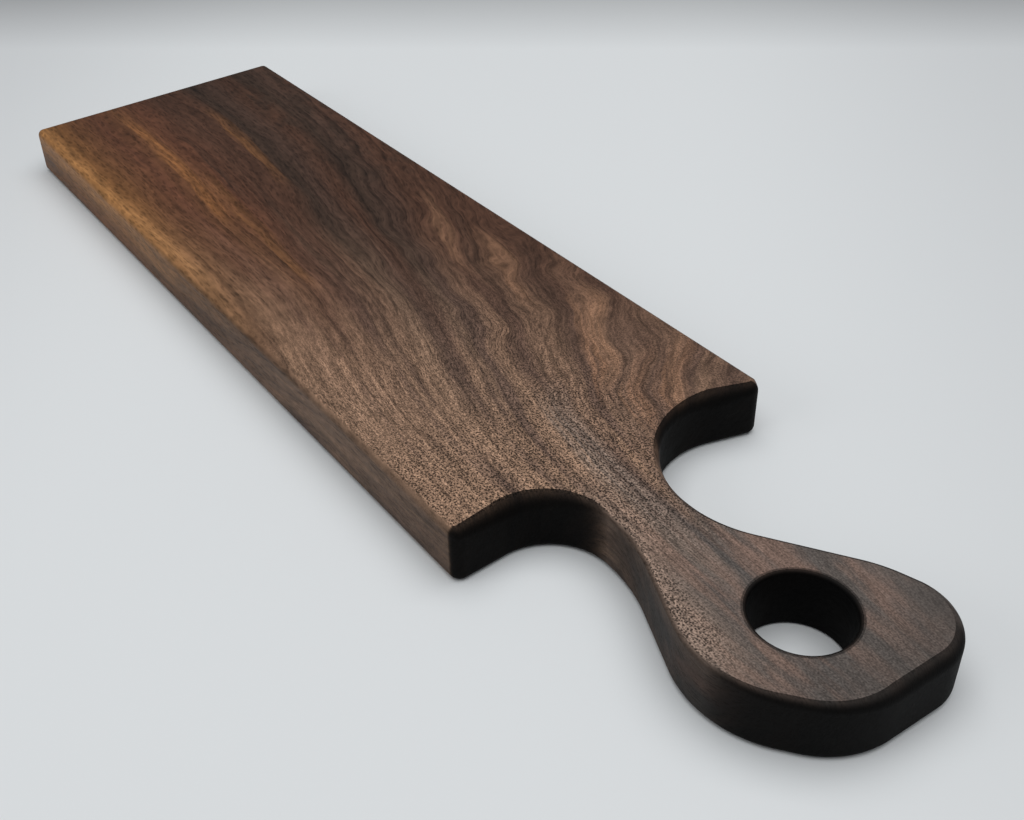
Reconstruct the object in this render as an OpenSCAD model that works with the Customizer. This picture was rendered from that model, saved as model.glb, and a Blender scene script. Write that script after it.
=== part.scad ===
// Paddle serving board cut from one walnut plank: a long square blade, a short
// off-centre neck between two finger notches, and a rounded lobe with a hanging hole.
// Millimetres, +Z up, the length along X with the lobe at +X. The board lies flat on
// Z = 0 and the origin is the middle of its underside box.

/* [Blade] */
// Length of the blade's left side, from its square end to the shoulder corner
blade_length = 432.4; // [380:0.1:520]
// Width of the blade
blade_width = 152; // [140:1:200]
// Thickness of the plank
thickness = 25.7; // [20:0.1:40]
// Radius of the upright corners at the square end
end_corner_radius = 3.6; // [2:0.1:14]
// Radius of the upright shoulder corners beside the grip
shoulder_corner_radius = 4.6; // [4:0.1:9]
// How much longer the blade's right side is than its left side
shoulder_skew = 4.5; // [0:0.1:8]

/* [Neck] */
// Width of the neck at its waist
neck_width = 29.2; // [24:0.1:38]
// Sideways place of the neck's middle, from the middle of the blade
neck_offset = -12.3; // [-18:0.1:-4]
// How much the neck's left flank stands in from the waist at the throat
left_throat_inset = 1.7; // [0:0.1:4]
// How much the neck's right flank stands out from the waist at the throat
right_throat_outset = 0.4; // [0:0.1:5]

/* [Left notch] */
// How far the left notch is cut back past the left shoulder corner
left_notch_depth = 1.3; // [0:0.1:10]
// Radius of the left notch
left_notch_radius = 26; // [15:0.5:36]
// Distance from the left shoulder corner to the left flank's waist
left_waist = 40.7; // [36:0.1:52]
// Radius by which the left flank flares out of the waist
left_flare_radius = 69; // [30:1:80]

/* [Right notch] */
// How far the right notch is cut back past the right shoulder corner
right_notch_depth = 14; // [8:0.1:20]
// Distance from the neck's right flank to the bottom of the right notch
right_notch_spread = 27.7; // [22:0.1:36]
// Radius of the right notch
right_notch_radius = 38; // [15:0.5:45]
// Distance from the left shoulder corner to the right flank's throat
right_throat = 21.6; // [16:0.1:30]
// Radius of the right flank's throat
right_throat_radius = 40; // [15:0.5:50]
// Distance from the left shoulder corner to the right flank's waist
right_waist = 51.1; // [44:0.1:60]
// Radius by which the right flank flares out of the waist
right_flare_radius = 47; // [20:1:60]

/* [Lobe] */
// Length of the grip, from the left shoulder corner to the end of the lobe
grip_length = 141.5; // [130:0.5:165]
// Reach of the lobe's left shoulder from the middle of the blade
lobe_left_reach = 53; // [46:0.5:60]
// Distance of the lobe's left shoulder from the lobe's end
lobe_left_setback = 41.4; // [34:0.1:50]
// Radius of the lobe's left shoulder
lobe_left_radius = 43.5; // [20:0.5:60]
// Reach of the lobe's right shoulder from the middle of the blade
lobe_right_reach = 33.3; // [28:0.1:44]
// Distance of the lobe's right shoulder from the lobe's end
lobe_right_setback = 42.3; // [34:0.1:50]
// Radius of the lobe's right shoulder
lobe_right_radius = 52; // [20:0.5:60]
// Place of the end edge's left corner, from the middle of the blade
end_left_reach = 22.8; // [12:0.1:30]
// Radius of the end edge's left corner
end_left_radius = 36; // [12:0.5:40]
// Place of the end edge's right corner, from the middle of the blade
end_right_reach = 46; // [38:0.1:54]
// Radius of the end edge's right corner
end_right_radius = 21.5; // [10:0.5:28]
// How much the end edge's left corner stands back from the right one
end_skew = 2.7; // [0:0.1:8]

/* [Hanging hole] */
// Diameter of the hanging hole
hole_diameter = 36; // [20:0.5:46]
// Distance of the hole's centre from the lobe's end
hole_setback = 42.7; // [38:0.1:52]
// Sideways place of the hole's centre, from the middle of the blade
hole_offset = -5.5; // [-12:0.1:2]
// Radius of the rounding at both rims of the hole
rim_round = 1.8; // [0.5:0.1:4]

/* [Edges] */
// Radius of the upper edges of the blade's long sides, its square end, the lobe's sides and
// the neck's right flank
edge_round = 3.5; // [1:0.1:6]
// Radius of the upper edges in the two notches, up to the shoulder corners
notch_edge_round = 7.2; // [1:0.1:8]
// Radius of the upper edge along the neck's left flank
flank_edge_round = 1.8; // [1:0.1:6]
// Radius of the upper edge at the end of the lobe
end_edge_round = 5.5; // [1:0.1:8]
// Radius of the edge all round the underside
under_edge_round = 3.5; // [1:0.1:6]
// Slope in degrees at which a rounding meets the flat faces, as a faint ridge
edge_ridge = 16; // [0:1:35]

/* [Hidden] */

// Longest straight piece on an arc of the outline
arc_chord = 3;
// Fewest straight pieces on an arc of the outline
arc_least = 4;
// Straight pieces on the arc of a rounded edge
round_steps = 5;
// Share of a straight side that the arcs at its two ends may take up
arc_share = 0.96;
// Share of an upright corner's radius by which the flat face may draw in
corner_share = 0.8;
// How far the hole's cutter runs past both faces
cut_past = 2;

half_width = blade_width / 2;
neck_left = neck_offset - neck_width / 2;
neck_right = neck_offset + neck_width / 2;
right_length = blade_length + shoulder_skew;
lobe_end = blade_length + grip_length;

// Corners of the plan before rounding, as name, x, y, radius and the rounding of the upper
// edge that follows, counter-clockwise from the square end's left corner. x runs from the
// square end.
corners = [
  ["square left", 0, -half_width, end_corner_radius, edge_round],
  ["shoulder left", blade_length, -half_width, shoulder_corner_radius, notch_edge_round],
  ["notch left", blade_length - left_notch_depth, neck_left + left_throat_inset, left_notch_radius,
    flank_edge_round],
  ["waist left", blade_length + left_waist, neck_left, left_flare_radius, flank_edge_round],
  ["lobe left", lobe_end - lobe_left_setback, -lobe_left_reach, lobe_left_radius, edge_round],
  ["end left", lobe_end - end_skew, -end_left_reach, end_left_radius, end_edge_round],
  ["end right", lobe_end, end_right_reach, end_right_radius, edge_round],
  ["lobe right", lobe_end - lobe_right_setback, lobe_right_reach, lobe_right_radius, edge_round],
  ["waist right", blade_length + right_waist, neck_right, right_flare_radius, edge_round],
  ["throat right", blade_length + right_throat, neck_right + right_throat_outset, right_throat_radius,
    edge_round],
  ["notch right", right_length - right_notch_depth, neck_right + right_notch_spread, right_notch_radius,
    notch_edge_round],
  ["shoulder right", right_length, half_width, shoulder_corner_radius, edge_round],
  ["square right", 0, half_width, end_corner_radius, edge_round]
];
function place_of(name) = search([name], corners)[0];

corner_n = len(corners);
function wrap(i) = (i + corner_n) % corner_n;
function corner_point(i) = [corners[wrap(i)][1], corners[wrap(i)][2]];
function corner_radius(i) = corners[i][3];
function edge_after(i) = corners[wrap(i)][4];
function along(i) = corner_point(i + 1) - corner_point(i);
function unit(v) = v / norm(v);
function inward(v) = [-v.y, v.x];

// Turn at each corner in degrees, positive where the plan is convex
turns = [
  for (i = [0:corner_n - 1])
    let (u = unit(along(i - 1)), v = unit(along(i)))
      atan2(cross(u, v), u * v)
];
// Length of each side that its corner's full radius would take up
reaches = [for (i = [0:corner_n - 1]) corner_radius(i) * tan(abs(turns[i]) / 2)];
// Share of the full radii that each side has room for
rooms = [
  for (i = [0:corner_n - 1])
    min(1, arc_share * norm(along(i)) / (reaches[i] + reaches[wrap(i + 1)]))
];
radii = [for (i = [0:corner_n - 1]) corner_radius(i) * min(rooms[wrap(i - 1)], rooms[i])];
steps = [
  for (i = [0:corner_n - 1])
    ceil(max(arc_least, abs(turns[i]) * PI / 180 * radii[i] / arc_chord))
];

// Share of the edge's radius by which the flat face draws in, and by which the wall starts lower
ridge_inset = 1 - sin(edge_ridge);
ridge_drop = cos(edge_ridge);

// Radius of a rounded edge at a corner, no larger than an upright convex corner has room for
function fitted(i, edge) = turns[i] > 0 ? min(edge, corner_share * radii[i] / ridge_inset) : edge;
// Radius of the upper edge at a share of a corner's arc: it passes from the rounding of the
// edge before to that of the edge after, slowly at first
function edge_at(i, share) =
  fitted(i, edge_after(i - 1) + (edge_after(i) - edge_after(i - 1)) * share * share);

// Points of the rounded plan at one corner, each as its place, its inward normal and the
// radii of the upper edge and of the underside's edge there
function arc_points(i) =
  let (
    side = sign(turns[i]),
    in_first = inward(unit(along(i - 1))),
    in_last = inward(unit(along(i))),
    middle = unit(in_first + in_last) * radii[i] / cos(turns[i] / 2),
    centre = corner_point(i) + side * middle,
    start = atan2(-side * in_first.y, -side * in_first.x)
  )
  [
    for (k = [0:steps[i]])
      let (a = start + turns[i] * k / steps[i], ray = [cos(a), sin(a)])
        [centre + radii[i] * ray, -side * ray, edge_at(i, k / steps[i]), fitted(i, under_edge_round)]
  ];

// The whole rounded plan
plan = [for (i = [0:corner_n - 1]) each arc_points(i)];
plan_n = len(plan);
plan_x = [for (q = plan) q[0].x];
x_middle = (min(plan_x) + max(plan_x)) / 2;
hole_place = [lobe_end - hole_setback, hole_offset];
hole_radius = hole_diameter / 2;

// Rings of the board from the underside to the top. Each is the plan drawn in by the arc of
// the rounded edge, which leaves the flat face at a slope and ends upright in the wall.
function ring_place(q, edge, slope) = q[0] + q[1] * edge * (1 - sin(slope));
function ring_depth(edge, slope) = edge * (ridge_drop - cos(slope));
function upper_ring(slope) = [
  for (q = plan) let (p = ring_place(q, q[2], slope)) [p.x, p.y, thickness - ring_depth(q[2], slope)]
];
function under_ring(slope) = [
  for (q = plan) let (p = ring_place(q, q[3], slope)) [p.x, p.y, ring_depth(q[3], slope)]
];
slopes = [for (k = [0:round_steps]) edge_ridge + (90 - edge_ridge) * k / round_steps];
rings = concat(
  [for (k = [0:round_steps]) under_ring(slopes[k])],
  [for (k = [round_steps:-1:0]) upper_ring(slopes[k])]
);
ring_n = len(rings);

// Number of plan points before a corner, and the last point of a corner
function first_point(i) = i == 0 ? 0 : first_point(i - 1) + steps[i - 1] + 1;
function last_point(i) = first_point(i) + steps[i];
// Point of a notch that is cut back farthest
function deepest_point(i) =
  let (x = [for (k = [first_point(i):last_point(i)]) plan[k][0].x])
    first_point(i) + search(min(x), x)[0];

left_deepest = deepest_point(place_of("notch left"));
right_deepest = deepest_point(place_of("notch right"));
left_tip = last_point(place_of("end left"));
right_tip = first_point(place_of("end right"));

// Flat face of the blade, as a fan from the square end's right corner
fan_start = first_point(place_of("square right"));
fan_points = [
  for (k = [fan_start + 1:plan_n - 1]) k,
  for (k = [0:left_deepest]) k,
  for (k = [right_deepest:fan_start - 1]) k
];
blade_face = [
  for (k = [0:len(fan_points) - 2]) [fan_start, fan_points[k], fan_points[k + 1]]
];

// Flat face of the grip, laced from the left flank to the right flank towards the tip
function lacing(l, r) =
  l == left_tip && r == right_tip ? []
  : r == right_tip || (l < left_tip && plan_x[l + 1] <= plan_x[r - 1])
    ? concat([[l, l + 1, r]], lacing(l + 1, r))
    : concat([[l, r - 1, r]], lacing(l, r - 1));
flat_face = concat(blade_face, lacing(left_deepest, right_deepest));

top_start = (ring_n - 1) * plan_n;
under_faces = flat_face;
top_faces = [for (f = flat_face) [top_start + f[2], top_start + f[1], top_start + f[0]]];
side_faces = [
  for (k = [0:ring_n - 2], i = [0:plan_n - 1])
    let (j = (i + 1) % plan_n, low = k * plan_n, high = low + plan_n)
      each [[low + i, high + i, high + j], [low + i, high + j, low + j]]
];

// The plank with its rounded edges, before the hole is bored
module plank() {
  polyhedron(points = [for (ring = rings) each ring], faces = concat(under_faces, top_faces, side_faces));
}

// Section of the ring that rounds one rim of the hole
module rim_section() {
  rim_drop = rim_round * ridge_drop;
  difference() {
    translate([hole_radius - cut_past, -cut_past])
      square([rim_round + cut_past, rim_drop + cut_past]);
    translate([hole_radius + rim_round, rim_drop])
      circle(r = rim_round, $fn = 64);
  }
}

// The hole with both of its rounded rims
module hanging_hole() {
  translate([0, 0, -cut_past])
    cylinder(r = hole_radius, h = thickness + 2 * cut_past, $fn = 128);
  rotate_extrude($fn = 128) rim_section();
  translate([0, 0, thickness])
    mirror([0, 0, 1])
      rotate_extrude($fn = 128) rim_section();
}

// Walnut board
module board() {
  color("#5f422f")
    translate([-x_middle, 0, 0])
      difference() {
        plank();
        translate([hole_place.x, hole_place.y, 0]) hanging_hole();
      }
}

board();
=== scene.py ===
import math

import bmesh
import bpy
from mathutils import Matrix, Vector


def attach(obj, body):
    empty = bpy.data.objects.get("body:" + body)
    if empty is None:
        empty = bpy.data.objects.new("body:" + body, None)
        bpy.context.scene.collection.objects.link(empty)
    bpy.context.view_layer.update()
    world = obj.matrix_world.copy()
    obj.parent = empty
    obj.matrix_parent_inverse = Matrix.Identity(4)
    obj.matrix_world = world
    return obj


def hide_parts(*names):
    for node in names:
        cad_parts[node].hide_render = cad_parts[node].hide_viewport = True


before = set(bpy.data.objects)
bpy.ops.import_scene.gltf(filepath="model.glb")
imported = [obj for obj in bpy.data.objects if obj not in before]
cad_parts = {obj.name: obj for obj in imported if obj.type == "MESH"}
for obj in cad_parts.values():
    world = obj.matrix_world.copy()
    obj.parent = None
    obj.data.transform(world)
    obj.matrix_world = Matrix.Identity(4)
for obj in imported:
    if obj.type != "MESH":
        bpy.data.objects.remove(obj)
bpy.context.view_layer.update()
MM = 0.001

# Plan of the board in millimetres, as in the part's source: x from the square end, y from
# the middle of the blade, the radius that rounds each corner, and the rounding of the upper
# edge that follows. The underside's edge has one rounding all round.
BLADE_LENGTH = 432.4
RIGHT_LENGTH = BLADE_LENGTH + 4.5
HALF_WIDTH = 76.0
THICKNESS = 25.7
LOBE_END = BLADE_LENGTH + 141.5
NECK_MIDDLE, NECK_WIDTH = -12.3, 29.2
NECK_LEFT = NECK_MIDDLE - NECK_WIDTH / 2
NECK_RIGHT = NECK_MIDDLE + NECK_WIDTH / 2
SQUARE_CORNER, SHOULDER_CORNER = 3.6, 4.6
EDGE, NOTCH_EDGE, FLANK_EDGE, END_EDGE = 3.5, 7.2, 1.8, 5.5
UNDER_EDGE = 3.5
CORNERS = [
    # left: the square end, the shoulder, the notch and the waist
    (0.0, -HALF_WIDTH, SQUARE_CORNER, EDGE),
    (BLADE_LENGTH, -HALF_WIDTH, SHOULDER_CORNER, NOTCH_EDGE),
    (BLADE_LENGTH - 1.3, NECK_LEFT + 1.7, 26.0, FLANK_EDGE),
    (BLADE_LENGTH + 40.7, NECK_LEFT, 69.0, FLANK_EDGE),
    # the lobe, round its end from left to right
    (LOBE_END - 41.4, -53.0, 43.5, EDGE),
    (LOBE_END - 2.7, -22.8, 36.0, END_EDGE),
    (LOBE_END, 46.0, 21.5, EDGE),
    (LOBE_END - 42.3, 33.3, 52.0, EDGE),
    # right: the waist, the throat, the notch, the shoulder and the square end
    (BLADE_LENGTH + 51.1, NECK_RIGHT, 47.0, EDGE),
    (BLADE_LENGTH + 21.6, NECK_RIGHT + 0.4, 40.0, EDGE),
    (RIGHT_LENGTH - 14.0, NECK_RIGHT + 27.7, 38.0, NOTCH_EDGE),
    (RIGHT_LENGTH, HALF_WIDTH, SHOULDER_CORNER, EDGE),
    (0.0, HALF_WIDTH, SQUARE_CORNER, EDGE),
]
HOLE_CENTRE = Vector((LOBE_END - 42.7, -5.5))
HOLE_RADIUS = 18.0
RIM_ROUND = 1.8
# Slope at which the rounded edges meet the flat faces, the share of a corner's radius by which
# the flat face may draw in, and the share of a side that its two corners may take up
EDGE_RIDGE = math.radians(16)
CORNER_SHARE = 0.8
SIDE_SHARE = 0.96
# Fineness of the mesh: points round the hole, steps in an edge's arc, and the longest step and
# the fewest steps round a corner of the plan
HOLE_POINTS = 160
ROUND_STEPS = 8
LONGEST_STEP = 1.2
FEWEST_STEPS = 8
# A face whose normal stands up this far is one of the two flat faces
FLAT_FACE = 0.9999


def plan_points():
    """The rounded plan, each point as (x, y), its inward normal and the roundings of the upper
    edge and the underside's edge."""
    points = [Vector(corner[:2]) for corner in CORNERS]
    count = len(points)
    along = [points[(i + 1) % count] - points[i] for i in range(count)]
    unit = [line.normalized() for line in along]
    turn = []
    for i in range(count):
        u, v = unit[i - 1], unit[i]
        turn.append(math.atan2(u.x * v.y - u.y * v.x, u.dot(v)))
    reach = [CORNERS[i][2] * math.tan(abs(turn[i]) / 2) for i in range(count)]
    room = []
    for i in range(count):
        taken = reach[i] + reach[(i + 1) % count]
        room.append(min(1.0, SIDE_SHARE * along[i].length / taken))
    out = []
    for i in range(count):
        radius = CORNERS[i][2] * min(room[i - 1], room[i])
        side = 1.0 if turn[i] > 0 else -1.0
        in0 = Vector((-unit[i - 1].y, unit[i - 1].x))
        in1 = Vector((-unit[i].y, unit[i].x))
        centre = points[i] + (in0 + in1).normalized() * (side * radius / math.cos(turn[i] / 2))
        start = math.atan2(-side * in0.y, -side * in0.x)
        steps = max(FEWEST_STEPS, math.ceil(abs(turn[i]) * radius / LONGEST_STEP))
        # the upper edge goes over from one side's rounding to the next side's
        before, after = CORNERS[i - 1][3], CORNERS[i][3]
        most = CORNER_SHARE * radius / (1 - math.sin(EDGE_RIDGE)) if side > 0 else math.inf
        for k in range(steps + 1):
            angle = start + turn[i] * k / steps
            ray = Vector((math.cos(angle), math.sin(angle)))
            edge = before + (after - before) * (k / steps) ** 2
            out.append((centre + ray * radius, ray * -side, min(edge, most), min(UNDER_EDGE, most)))
    return out


PLAN = plan_points()
PLAN_X = [place[0].x for place in PLAN]
# The frame's origin is at the middle of the plan's length
X_MIDDLE = (min(PLAN_X) + max(PLAN_X)) / 2


def hole_points():
    """The hole's circle, each point as (x, y), its normal into the wood and the rims' roundings."""
    out = []
    for k in range(HOLE_POINTS):
        angle = -2 * math.pi * k / HOLE_POINTS
        ray = Vector((math.cos(angle), math.sin(angle)))
        out.append((HOLE_CENTRE + ray * HOLE_RADIUS, ray, RIM_ROUND, RIM_ROUND))
    return out


def edge_profile():
    """The rounded edge from the underside to the top: its slope, and whether it is the upper one."""
    turn = math.pi / 2 - EDGE_RIDGE
    slopes = [EDGE_RIDGE + turn * k / ROUND_STEPS for k in range(ROUND_STEPS + 1)]
    return [(slope, False) for slope in slopes] + [(slope, True) for slope in reversed(slopes)]


def new_object(name, data):
    obj = bpy.data.objects.new(name, data)
    bpy.context.scene.collection.objects.link(obj)
    return obj


def build_board():
    bm = bmesh.new()
    normals = []

    def wall(outline):
        """Rings of one wall, joined by quads."""
        rings = []
        for slope, upper in edge_profile():
            out, rise = math.sin(slope), math.cos(slope)
            ring = []
            for point, inward, upper_edge, under_edge in outline:
                edge = upper_edge if upper else under_edge
                q = point + inward * (edge * (1 - out))
                depth = edge * (math.cos(EDGE_RIDGE) - rise)
                z = THICKNESS - depth if upper else depth
                ring.append(bm.verts.new(((q.x - X_MIDDLE) * MM, q.y * MM, z * MM)))
                normals.append(Vector((-inward.x * out, -inward.y * out, rise if upper else -rise)))
            rings.append(ring)
        for low, high in zip(rings, rings[1:]):
            for i in range(len(low)):
                j = (i + 1) % len(low)
                bm.faces.new((low[i], low[j], high[j], high[i]))
        return rings

    outer = wall(PLAN)
    inner = wall(hole_points())
    # the two flat faces, each between the outer edge and the hole
    for k, up in ((0, -1.0), (-1, 1.0)):
        edges = [bm.edges.get((row[i], row[(i + 1) % len(row)]))
                 for row in (outer[k], inner[k]) for i in range(len(row))]
        made = bmesh.ops.triangle_fill(bm, use_beauty=True, use_dissolve=False, edges=edges,
                                       normal=(0, 0, up))
        for face in made["geom"]:
            if isinstance(face, bmesh.types.BMFace):
                face.normal_update()
                if face.normal.z * up < 0:
                    face.normal_flip()
    mesh = bpy.data.meshes.new("walnut_board")
    bm.to_mesh(mesh)
    bm.free()
    mesh.shade_smooth()
    # the flat faces stay flat up to the ridge, and the rounded edges shade as true arcs
    corner_normals = []
    for face in mesh.polygons:
        flat = abs(face.normal.z) > FLAT_FACE
        for v in face.vertices:
            corner_normals.append(face.normal.copy() if flat else normals[v].normalized())
    mesh.normals_split_custom_set(corner_normals)
    return new_object("walnut_board", mesh)


# Range that holds nearly all the values of a noise
NOISE_LOW, NOISE_HIGH = 0.22, 0.78
# Places of the colour sockets on a Mix node
MIX_A, MIX_B, MIX_RESULT = 6, 7, 2


class Nodes:
    """Short calls for building a node tree."""

    def __init__(self, tree):
        self.tree = tree

    def put(self, socket, value):
        if isinstance(value, bpy.types.NodeSocket):
            self.tree.links.new(value, socket)
        else:
            socket.default_value = value

    def new(self, kind, **props):
        node = self.tree.nodes.new(kind)
        for k, v in props.items():
            setattr(node, k, v)
        return node

    def parts(self, source):
        """x, y and z of one of the texture coordinates."""
        coord = self.new("ShaderNodeTexCoord")
        split = self.new("ShaderNodeSeparateXYZ")
        self.put(split.inputs[0], coord.outputs[source])
        return tuple(split.outputs)

    def math(self, op, a, b=0.0, clamp=False):
        n = self.new("ShaderNodeMath", operation=op, use_clamp=clamp)
        self.put(n.inputs[0], a)
        self.put(n.inputs[1], b)
        return n.outputs[0]

    def add(self, *terms):
        total = terms[0]
        for term in terms[1:]:
            total = self.math("ADD", total, term)
        return total

    def mul(self, *terms):
        total = terms[0]
        for term in terms[1:]:
            total = self.math("MULTIPLY", total, term)
        return total

    def most(self, a, b):
        return self.math("MAXIMUM", a, b)

    def size(self, a):
        return self.math("ABSOLUTE", a)

    def range(self, v, lo, hi, to_lo=0.0, to_hi=1.0, kind="SMOOTHSTEP"):
        n = self.new("ShaderNodeMapRange", interpolation_type=kind)
        for i, x in enumerate((v, lo, hi, to_lo, to_hi)):
            self.put(n.inputs[i], x)
        return n.outputs[0]

    def spread(self, v, amount):
        """A noise value about its middle, from minus to plus the amount."""
        return self.range(v, NOISE_LOW, NOISE_HIGH, -amount, amount, "LINEAR")

    def scaled(self, x, y, z, size):
        """The place with each axis in units of a pattern's length, width and depth."""
        n = self.new("ShaderNodeCombineXYZ")
        for i, v in enumerate((x, y, z)):
            self.put(n.inputs[i], self.mul(v, 1 / size[i]))
        return n.outputs[0]

    def ease(self, v, length):
        """Grows from nothing with a slope that rises to one over the length."""
        u = self.math("MULTIPLY", v, 1 / length, clamp=True)
        bent = self.mul(u, u, u, self.add(1.0, self.mul(u, -0.5)), length)
        return self.add(bent, self.most(self.add(v, -length), 0.0))

    def between(self, v, start, stop, soft):
        """One from start to stop, fading to nothing over the soft length at both ends."""
        return self.mul(self.range(v, start, start + soft), self.range(v, stop, stop - soft))

    def noise(self, x, y, z, size, detail=2.0):
        n = self.new("ShaderNodeTexNoise", noise_dimensions="3D")
        self.put(n.inputs["Vector"], self.scaled(x, y, z, size))
        self.put(n.inputs["Scale"], 1.0)
        self.put(n.inputs["Detail"], detail)
        return n.outputs[0]

    def cells(self, x, y, z, size):
        """Distance from the middle of the nearest cell."""
        n = self.new("ShaderNodeTexVoronoi", voronoi_dimensions="3D", feature="F1")
        self.put(n.inputs["Vector"], self.scaled(x, y, z, size))
        self.put(n.inputs["Scale"], 1.0)
        return n.outputs["Distance"]

    def ramp(self, fac, lo, hi, stops):
        """Colours at places between lo and hi."""
        n = self.new("ShaderNodeValToRGB")
        elements = n.color_ramp.elements
        while len(elements) < len(stops):
            elements.new(0.5)
        for element, (place, colour) in zip(elements, stops):
            element.position = (place - lo) / (hi - lo)
            element.color = (*colour, 1.0)
        self.put(n.inputs[0], self.range(fac, lo, hi, kind="LINEAR"))
        return n.outputs[0]

    def mix(self, fac, a, b):
        n = self.new("ShaderNodeMix", data_type="RGBA")
        self.put(n.inputs[0], fac)
        for place, v in ((MIX_A, a), (MIX_B, b)):
            self.put(n.inputs[place], v if isinstance(v, bpy.types.NodeSocket) else (*v, 1.0))
        return n.outputs[MIX_RESULT]

    def dim(self, colour, amount):
        """A colour multiplied by a single number."""
        n = self.new("ShaderNodeVectorMath", operation="SCALE")
        self.put(n.inputs[0], colour)
        self.put(n.inputs["Scale"], amount)
        return n.outputs[0]

    def shaded(self, colour, mask, share):
        """A colour that keeps this share of its light where the mask is one."""
        return self.dim(colour, self.range(mask, 0.0, 1.0, 1.0, share, "LINEAR"))


def new_material(name):
    """A material, its shader and the calls that build its nodes."""
    mat = bpy.data.materials.new(name)
    mat.use_nodes = True
    return mat, mat.node_tree.nodes["Principled BSDF"], Nodes(mat.node_tree)


def tone(*rgb):
    """A screen colour, 0 to 255, as linear light."""
    return tuple(c / 255 / 12.92 if c <= 10 else ((c / 255 + 0.055) / 1.055) ** 2.4 for c in rgb)


# Colours of the wood
GOLD = tone(160, 114, 70)
ORANGE = tone(146, 98, 60)
OLIVE = tone(120, 82, 50)
BROWN = tone(106, 71, 48)
RED_BROWN = tone(95, 61, 45)
DEEP = tone(80, 55, 43)
DARK = tone(60, 46, 38)
DUSK = tone(74, 55, 46)
TAN = tone(142, 114, 94)
PALE = tone(146, 109, 84)
FAWN = tone(101, 81, 70)
# a grey that paints the sheen on the grip
SHEEN_GREY = tone(87, 82, 79)
ASH = tone(124, 109, 99)
ROSE = tone(122, 101, 91)
SAND = tone(135, 115, 102)

# Colours of the far half by their level across the grain, from the left edge to the right
BAND_REACH = 80
FAR_BANDS = [
    (-78, GOLD), (-71, GOLD), (-65, OLIVE), (-56, BROWN), (-42, RED_BROWN), (-32, BROWN),
    (-18, RED_BROWN), (-4, DEEP), (11, DEEP), (22, DARK), (32, DUSK), (44, DEEP), (54, DARK),
    (64, DUSK), (78, DEEP),
]
# Grain streaks: level across the grain and half width, start and end along the
# board, colour and strength, in millimetres of the board's own frame
STREAKS = [
    (-30, 3.5, -275, -100, ORANGE, 0.85),
    (-22, 4.0, -180, -20, OLIVE, 0.7),
    (-13, 2.5, -245, -110, DARK, 0.6),
    (-2, 3.0, -150, -20, DARK, 0.4),
    (14, 4.0, -255, -120, OLIVE, 0.6),
    (22.5, 3.5, -300, -50, DARK, 0.75),
    (8, 3.0, -60, 150, DARK, 0.35),
    (-14, 2.5, -20, 150, DARK, 0.35),
    (30, 3.0, -60, 140, DARK, 0.35),
    (87, 4.0, -85, 15, PALE, 0.6),
    (97, 4.0, -70, 60, DARK, 0.4),
    (106, 4.5, -35, 55, PALE, 0.7),
    (118, 5.0, -20, 110, DARK, 0.4),
    (131, 6.0, 35, 130, PALE, 0.7),
    (146, 6.0, 90, 160, PALE, 0.6),
    (163, 7.0, 90, 165, PALE, 0.6),
    (92, 13.0, 90, 235, ASH, 0.9),
    (188, 9.0, 222, 280, ROSE, 0.6),
]
STREAK_FADE = 35

# Length along the board, width across and depth of each pattern in the wood, in millimetres.
# The first three bend the grain.
BROAD_WAVES = (160, 45, 45)
RIPPLES = (50, 10, 10)
CURLS = (36, 28, 40)
# Patches of colour
WIDE_BANDS = (190, 16, 40)
PATCHES = (48, 15, 30)
BLOTCHES = (26, 13, 30)
CLOUDS = (40, 20, 24)
# Torn sides of the streaks
FRAYS = (60, 3.5, 6)
FIBRES = (34, 1.5, 3)
# Growth lines: how far they drift, where they are strong, and the width of a year's growth
YEAR_DRIFT = (120, 20, 40)
YEAR_STRENGTH = (90, 22, 40)
YEAR_WIDTH = 9
# Light and dark fibres, from broad to fine
BROAD_FIBRES = (110, 5.0, 12)
MOTTLES = (13, 4.2, 6)
FLECKS = (6.0, 2.0, 3)
HAIRS = (26, 1.3, 2.5)
# Pores, and the grit between them
LONG_PORES = (7.0, 1.5, 1.2)
SHORT_PORES = (2.6, 0.9, 0.9)
DOT_PORES = (0.95, 0.78, 0.78)
GRIT = (0.7, 0.6, 0.6)

# Course of the grain: where its lean and its bend start along the board, over what length each
# comes in, and its slope. The bend starts on a slant and goes back after its length.
LEAN_START, LEAN_EASE, LEAN_SLOPE = -260, 180, 0.275
BEND_START, BEND_EASE, BEND_SLOPE = -40, 150, 0.47
BEND_SLANT, BEND_LENGTH, BEND_BACK_EASE = -0.69, 108, 132
DIP_SLOPE = 0.8

# Shares of their light that darker places keep: growth lines on the far half and on the near
# one, the darkest fibres, pores, rounded edges of end grain on the blade and on the grip, end
# grain that stands upright, the bore as end grain and painted shade in the hole, and upright
# sides near the grip
FAR_YEAR_LIGHT, NEAR_YEAR_LIGHT = 0.6, 0.74
FIBRE_LIGHT = 0.25
PORE_LIGHT = 0.18
BLADE_EDGE_LIGHT, GRIP_EDGE_LIGHT = 0.1, 0.26
END_GRAIN_LIGHT = 0.12
BORE_GRAIN_AND_SHADE_LIGHT = 0.4
NEAR_SIDE_LIGHT = 0.6


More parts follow.
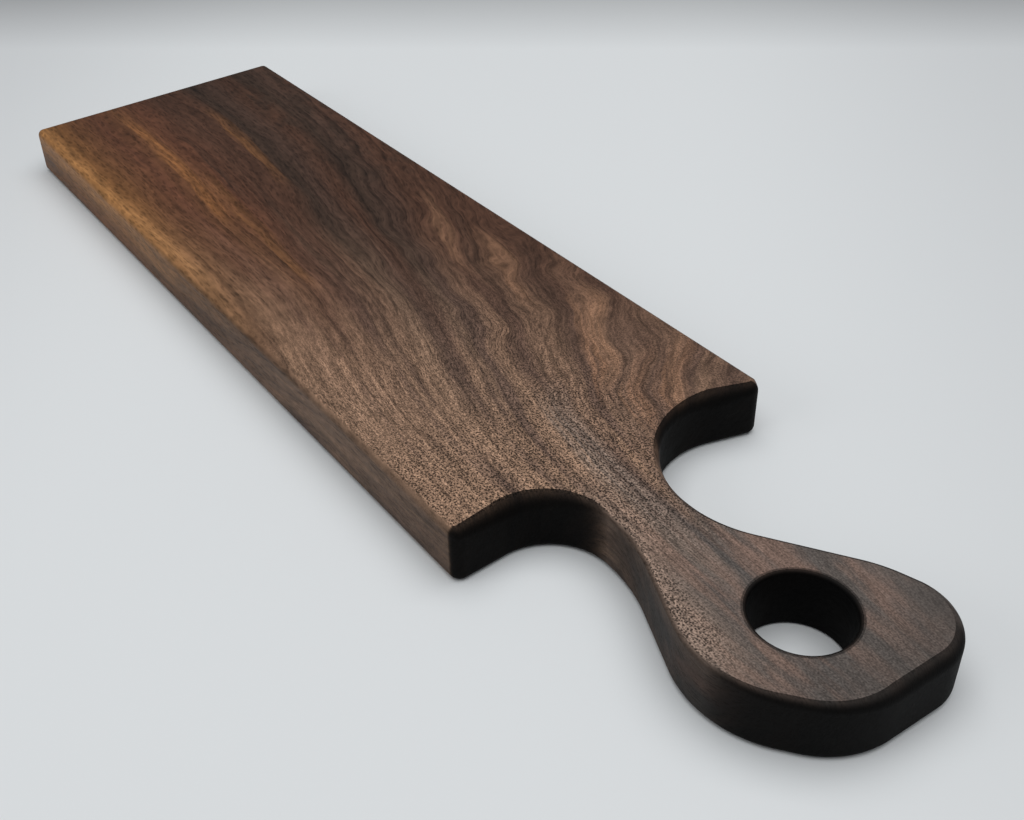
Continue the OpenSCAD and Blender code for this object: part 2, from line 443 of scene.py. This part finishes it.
def grain_level(n, x, y, z):
    """Distance across the layers: they run along the board at the far end, lean over towards
    the left edge on the right half, bend once more before the grip, curl before the right notch
    and dip through the thickness."""
    leaning = n.add(n.range(y, -65, 38), 0.08)
    lean = n.mul(n.ease(n.add(x, -LEAN_START), LEAN_EASE), leaning, LEAN_SLOPE)
    run = n.add(x, n.mul(y, BEND_SLANT), -BEND_START)
    back = n.ease(n.add(run, -BEND_LENGTH), BEND_BACK_EASE)
    bend = n.math("SUBTRACT", n.ease(run, BEND_EASE), back)
    bend = n.mul(bend, n.range(y, -104, -12), BEND_SLOPE)
    dip = n.mul(n.add(THICKNESS, n.mul(z, -1.0)), DIP_SLOPE)
    broad = n.spread(n.noise(x, y, z, BROAD_WAVES), 5.0)
    ripple = n.spread(n.noise(x, y, z, RIPPLES), 1.8)
    curl = n.spread(n.noise(x, y, z, CURLS, detail=1), 6.5)
    curled = n.mul(n.between(x, -120, 190, 90), n.range(y, -30, 20))
    return n.add(y, lean, bend, dip, broad, ripple, n.mul(curl, curled))


def tan_band(n, x, y):
    """The lighter, pored band along the left flank of the grip."""
    return n.mul(n.range(n.add(y, n.mul(x, 0.18)), 20, 2), n.between(x, 140, 270, 40))


def wood_colour(n, x, y, z, level):
    """Broad colours of the plank and its streaks."""
    far = n.ramp(level, -BAND_REACH, BAND_REACH, FAR_BANDS)
    wide = n.noise(x, level, z, WIDE_BANDS)
    patch = n.noise(x, level, z, PATCHES, detail=3)
    # the near part's lighter, greyer tones are partly the wood's own and partly painted sheen
    near = n.mix(n.range(n.add(wide, n.spread(patch, 0.09)), 0.40, 0.58, kind="LINEAR"), FAWN, TAN)
    col = n.mix(n.range(n.add(x, n.mul(y, -1.0)), -120, 170), far, near)
    # darker towards the far end, and in blotches at its right
    col = n.dim(col, n.range(x, -290, -190, 0.84, 1.0))
    blotch = n.noise(x, y, z, BLOTCHES, detail=3)
    right_end = n.mul(n.range(y, 25, 50), n.range(x, -70, -140))
    col = n.mix(n.mul(n.range(blotch, 0.48, 0.6), right_end, 0.7), col, DARK)
    # the grip is greyed by painted sheen, with rosy patches, darker at its end and tan along its left
    # flank
    cloud = n.noise(x, level, z, CLOUDS, detail=3)
    rosy = n.mul(n.range(cloud, 0.40, 0.62), n.range(x, 285, 245, 0.25, 1.0))
    col = n.mix(n.range(x, 150, 215, 0.0, 0.95), col, n.mix(rosy, SHEEN_GREY, ROSE))
    col = n.dim(col, n.range(x, 245, 280, 1.0, 0.84))
    col = n.mix(n.mul(tan_band(n, x, y), n.range(z, 16, 24, 0.0, 0.85)), col, SAND)

    # streaks, frayed along the fibres
    fray = n.noise(x, level, z, FRAYS, detail=3)
    fibre = n.noise(x, level, z, FIBRES)
    torn = n.mul(n.range(fray, 0.3, 0.6, 0.55, 1.0), n.range(fibre, 0.32, 0.6, 0.5, 1.0))
    frayed = n.add(level, n.spread(fray, 2.0), n.spread(fibre, 1.0))
    for centre, half, start, stop, colour, strength in STREAKS:
        off = n.size(n.add(frayed, -centre))
        inside = n.range(off, half * 1.4, half * 0.4)
        there = n.between(x, start, stop, STREAK_FADE)
        col = n.mix(n.mul(inside, there, torn, strength), col, colour)
    return col


def growth_lines(n, x, y, z, level):
    """Dark where a year's growth ends, then light again at once."""
    drift = n.noise(x, y, z, YEAR_DRIFT)
    phase = n.math("FRACT", n.add(n.mul(level, 1 / YEAR_WIDTH), n.spread(drift, 0.5)))
    late = n.mul(n.range(phase, 0.62, 0.95), n.range(phase, 1.0, 0.97))
    some = n.range(n.noise(x, level, z, YEAR_STRENGTH), 0.36, 0.58, 0.25, 1.0)
    # weaker at the far left and on the grip
    return n.mul(late, some, n.range(n.add(x, y), -240, -100, 0.3, 1.0), n.range(x, 190, 150, 0.2, 1.0))


def walnut():
    mat, bsdf, n = new_material("walnut")
    x, y, z = (n.mul(part, 1 / MM) for part in n.parts("Object"))
    along, across, up = n.parts("Normal")
    slope = n.math("SQRT", n.most(n.add(1.0, n.mul(up, up, -1.0)), 0.0))
    level = grain_level(n, x, y, z)
    col = wood_colour(n, x, y, z, level)
    lines = growth_lines(n, x, y, z, level)
    col = n.shaded(col, lines, n.range(x, -40, 60, FAR_YEAR_LIGHT, NEAR_YEAR_LIGHT))

    # fibres from broad to fine, calmer on the grip
    broad = n.noise(x, level, z, BROAD_FIBRES, detail=3)
    mottle = n.noise(x, level, z, MOTTLES, detail=3)
    fleck = n.noise(x, level, z, FLECKS, detail=3)
    hair = n.noise(x, level, z, HAIRS)
    lively = n.add(n.spread(broad, 0.25), n.spread(mottle, 0.18), n.spread(fleck, 0.30),
                   n.spread(hair, 0.28))
    light = n.add(1.0, n.mul(lively, n.range(x, 190, 235, 1.0, 0.4)))
    col = n.dim(col, n.most(light, FIBRE_LIGHT))

    # pores: long dashes along the blade, and dark dots where the fibres come up to the face
    dashes = n.range(n.cells(x, level, z, LONG_PORES), 0.42, 0.24)
    short = n.range(n.cells(x, level, z, SHORT_PORES), 0.54, 0.28)
    dots = n.range(n.cells(x, y, z, DOT_PORES), 0.56, 0.30)
    dots = n.add(n.mul(short, n.range(x, 110, 50)), n.mul(dots, n.range(x, 50, 110)))
    dotted = n.mul(n.range(x, -60, 110), n.range(y, 50, 5, 0.5, 1.0),
                   n.most(n.range(x, 210, 175, 0.4, 1.0), tan_band(n, x, y)),
                   n.range(slope, 0.3, 0.6, 1.0, 0.15))
    pore = n.most(n.mul(dashes, 0.35), n.mul(dots, dotted))
    col = n.shaded(col, pore, PORE_LIGHT)
    # grit between the dots, and a little more light there to make up for them
    grit = n.spread(n.noise(x, y, z, GRIT, detail=0), 0.75)
    col = n.dim(col, n.add(1.0, n.mul(grit, dotted), n.mul(dotted, 0.3)))

    # end grain drinks more oil: dark from the ridge on and nearly black where it stands upright;
    # the bore counts as end grain and is darkened further with painted shade inside the hole; the
    # grain turns with the layers in the grip, whose sides are dark too
    turn = n.range(x, 20, 190, 0.0, 0.36)
    end = n.size(n.add(along, n.mul(across, turn, -1.0)))
    end = n.math("DIVIDE", end, n.most(slope, 0.02))
    bore_x, bore_y = n.add(x, X_MIDDLE - HOLE_CENTRE.x), n.add(y, -HOLE_CENTRE.y)
    from_axis = n.math("SQRT", n.add(n.mul(bore_x, bore_x), n.mul(bore_y, bore_y)))
    rim = HOLE_RADIUS + RIM_ROUND
    bore = n.range(from_axis, rim + 0.4, rim + 0.1)
    end = n.most(n.most(end, bore), n.range(x, 145, 185, 0.0, 0.4))
    edge = n.mul(n.range(slope, 0.10, 0.24), n.range(end, 0.15, 0.65))
    upright = n.range(slope, 0.45, 0.95)
    soaked = n.mul(upright, n.range(end, 0.3, 0.8))
    col = n.shaded(col, edge, n.range(x, 150, 172, BLADE_EDGE_LIGHT, GRIP_EDGE_LIGHT))
    col = n.shaded(col, soaked, END_GRAIN_LIGHT)
    # painted shade inside the hole, on top of its end grain
    col = n.shaded(col, bore, BORE_GRAIN_AND_SHADE_LIGHT)
    col = n.shaded(col, upright, n.range(x, -190, -40, 1.0, NEAR_SIDE_LIGHT))
    n.put(bsdf.inputs["Base Color"], col)

    # a satin surface, rougher in the pores and on end grain
    rough = n.add(0.46, n.spread(hair, 0.07), n.mul(pore, 0.18), n.mul(edge, 0.25))
    n.put(bsdf.inputs["Roughness"], rough)
    bsdf.inputs["Specular IOR Level"].default_value = 0.1
    bump = n.new("ShaderNodeBump")
    bump.inputs["Strength"].default_value = 0.4
    bump.inputs["Distance"].default_value = 0.0002
    n.put(bump.inputs["Height"], n.add(n.mul(pore, -1.0), n.mul(hair, 0.5)))
    n.put(bsdf.inputs["Normal"], bump.outputs[0])
    return mat


# The floor: half its width in metres, the way along it that leads back from the camera, and its
# greys in the middle and at the sides, round the board and well behind it; the darker greys are
# painted shade
FLOOR_HALF = 6
BACK_X, BACK_Y = -0.756, 0.655
NEAR_GREY, NEAR_SIDE_SHADED_GREY = (0.76, 0.785, 0.80), (0.65, 0.67, 0.685)
FAR_SHADED_GREY, FAR_SIDE_SHADED_GREY = (0.50, 0.515, 0.525), (0.40, 0.41, 0.42)


def floor():
    """A pale sheet with painted shade that darkens it well behind the board and a little to its sides.
    """
    mesh = bpy.data.meshes.new("floor")
    ways = ((-1, -1), (1, -1), (1, 1), (-1, 1))
    mesh.from_pydata([(a * FLOOR_HALF, b * FLOOR_HALF, 0) for a, b in ways], [], [(0, 1, 2, 3)])
    obj = new_object("floor", mesh)
    mat, bsdf, n = new_material("pale_floor")
    x, y, _ = n.parts("Object")
    behind = n.add(n.mul(x, BACK_X), n.mul(y, BACK_Y))
    beside = n.size(n.add(n.mul(x, BACK_Y), n.mul(y, -BACK_X)))
    # painted shade: darker well behind the board and towards its sides
    far_shade_share = n.range(behind, 0.355, 0.46, kind="LINEAR")
    side_shade_share = n.range(beside, 0.12, 0.40)
    grey = n.mix(side_shade_share, NEAR_GREY, NEAR_SIDE_SHADED_GREY)
    far_shaded_grey = n.mix(side_shade_share, FAR_SHADED_GREY, FAR_SIDE_SHADED_GREY)
    n.put(bsdf.inputs["Base Color"], n.mix(far_shade_share, grey, far_shaded_grey))
    bsdf.inputs["Roughness"].default_value = 0.8
    bsdf.inputs["Specular IOR Level"].default_value = 0.1
    mesh.materials.append(mat)


def area(name, place, size, power):
    """A soft lamp that faces the board."""
    lamp = bpy.data.lights.new(name, "AREA")
    lamp.shape = "RECTANGLE"
    lamp.size, lamp.size_y = size
    lamp.energy = power
    obj = new_object(name, lamp)
    obj.location = place
    obj.rotation_euler = (-Vector(place)).to_track_quat("-Z", "Y").to_euler()


def lights():
    area("key", place=(0.15, 0.12, 2.0), size=(2.6, 2.6), power=40)
    area("left_fill", place=(-0.5, -2.2, 1.3), size=(1.6, 1.2), power=8)
    world = bpy.data.worlds.new("studio")
    world.use_nodes = True
    background = world.node_tree.nodes["Background"]
    background.inputs["Color"].default_value = (0.96, 0.98, 1.0, 1.0)
    background.inputs["Strength"].default_value = 0.2
    bpy.context.scene.world = world


def camera():
    """The photograph's viewpoint; the small shift stands for its off-centre framing."""
    cam = bpy.data.cameras.new("camera")
    cam.sensor_fit = "HORIZONTAL"
    cam.sensor_width = 36.0
    cam.lens = 44.302
    cam.shift_x = 0.0541
    cam.shift_y = -0.0459
    cam.clip_end = 50.0
    obj = new_object("camera", cam)
    place = (0.423192, -0.251593, 0.336466)
    right = Vector((0.570779, 0.820007, -0.042422))
    down = Vector((0.459475, -0.361789, -0.811167))
    ahead = Vector((-0.680511, 0.443505, -0.583274))
    turn = Matrix((right, -down, -ahead)).transposed()
    obj.matrix_world = Matrix.Translation(place) @ turn.to_4x4()
    bpy.context.scene.camera = obj


board = build_board()
board.data.materials.append(walnut())
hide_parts("board")
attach(board, "root")
floor()
lights()
camera()
bpy.context.scene.view_settings.view_transform = "Standard"
